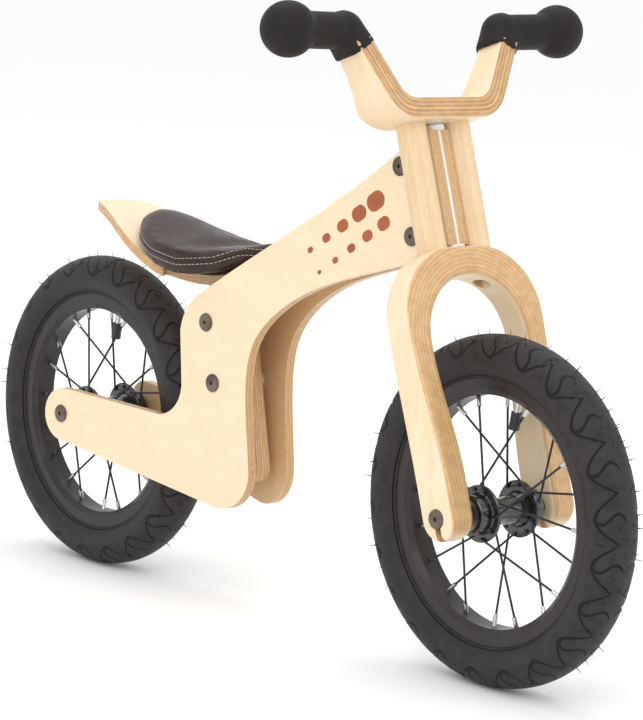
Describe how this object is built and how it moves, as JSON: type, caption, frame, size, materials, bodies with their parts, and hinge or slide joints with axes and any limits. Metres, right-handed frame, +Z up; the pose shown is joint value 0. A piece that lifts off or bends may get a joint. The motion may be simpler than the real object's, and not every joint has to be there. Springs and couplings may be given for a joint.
{
  "type": "balance bike",
  "caption": "Child's wooden balance bike with bent plywood fork and handlebar, splayed frame panels, sliding saddle, limited steering and spoked wheels.",
  "frame": {"origin": "on the ground, midway between the two axles and on the middle plane", "axes": "+X forward, +Y to the rider's left, +Z up"},
  "size_m": [0.849, 0.3594, 0.5695],
  "materials": {
    "birch": "clear satin lacquer",
    "bent_birch": "clear satin lacquer over pressed veneers",
    "turned_wood": "clear satin lacquer",
    "foam": "fine open grain",
    "tyre": "dull with moulded tread",
    "rubber": "dull",
    "black_metal": "satin black",
    "steel": "satin",
    "leather": "dark brown with pale stitching",
    "white_plastic": "matt white",
    "bronze_bolt": "dark antique"
  },
  "bodies": {
    "frame": {"frame_panel_right": "birch", "frame_panel_left": "birch", "seat_bolts": "bronze_bolt", "seat_sleeve_nuts": "bronze_bolt", "head_bolts": "bronze_bolt", "head_sleeve_nuts": "bronze_bolt", "seat_spacers": "white_plastic", "head_spacers": "white_plastic", "head_sleeve": "white_plastic", "head_bushing_top": "white_plastic", "head_bushing_bottom": "white_plastic", "rear_axle": "steel", "rear_axle_bolts": "bronze_bolt", "rear_axle_spacers": "white_plastic"},
    "seat": {"seat_mast": "bent_birch", "saddle_base": "bent_birch", "saddle_pad": "leather", "saddle_screws": "steel"},
    "steering": {"fork": "bent_birch", "pillar_right": "turned_wood", "pillar_left": "turned_wood", "pillar_bolts": "steel", "handlebar": "bent_birch", "handlebar_nuts": "steel", "steering_pin": "steel", "steering_washer": "steel", "bar_stub_right": "steel", "bar_stub_left": "steel", "grip_right": "foam", "grip_left": "foam", "front_axle": "steel", "front_axle_bolts": "bronze_bolt", "front_axle_spacers": "white_plastic"},
    "front_wheel": {"front_tyre": "tyre", "front_inner_tube": "rubber", "front_rim": "black_metal", "front_rim_tape": "rubber", "front_spokes": "black_metal", "front_nipples": "steel", "front_hub": "black_metal", "front_bearings": "steel", "front_valve": "steel", "front_valve_cap": "rubber"},
    "rear_wheel": {"rear_tyre": "tyre", "rear_inner_tube": "rubber", "rear_rim": "black_metal", "rear_rim_tape": "rubber", "rear_spokes": "black_metal", "rear_nipples": "steel", "rear_hub": "black_metal", "rear_bearings": "steel", "rear_valve": "steel", "rear_valve_cap": "rubber"}
  },
  "joints": [
    {"name": "seat_height", "type": "slide", "parent": "frame", "child": "seat", "axis": [-0.2113, 0, 0.9774], "range_m": [0, 0.04]},
    {"name": "steering", "type": "hinge", "parent": "frame", "child": "steering", "pos_m": [0.2745, 0, 0.15], "axis": [-0.3223, 0, 0.9466], "range_deg": [-20, 20]},
    {"name": "front_wheel_spin", "type": "hinge", "parent": "steering", "child": "front_wheel", "pos_m": [0.2745, 0, 0.15], "axis": [0, 1, 0], "continuous": true},
    {"name": "rear_wheel_spin", "type": "hinge", "parent": "frame", "child": "rear_wheel", "pos_m": [-0.2745, 0, 0.15], "axis": [0, 1, 0], "continuous": true}
  ]
}
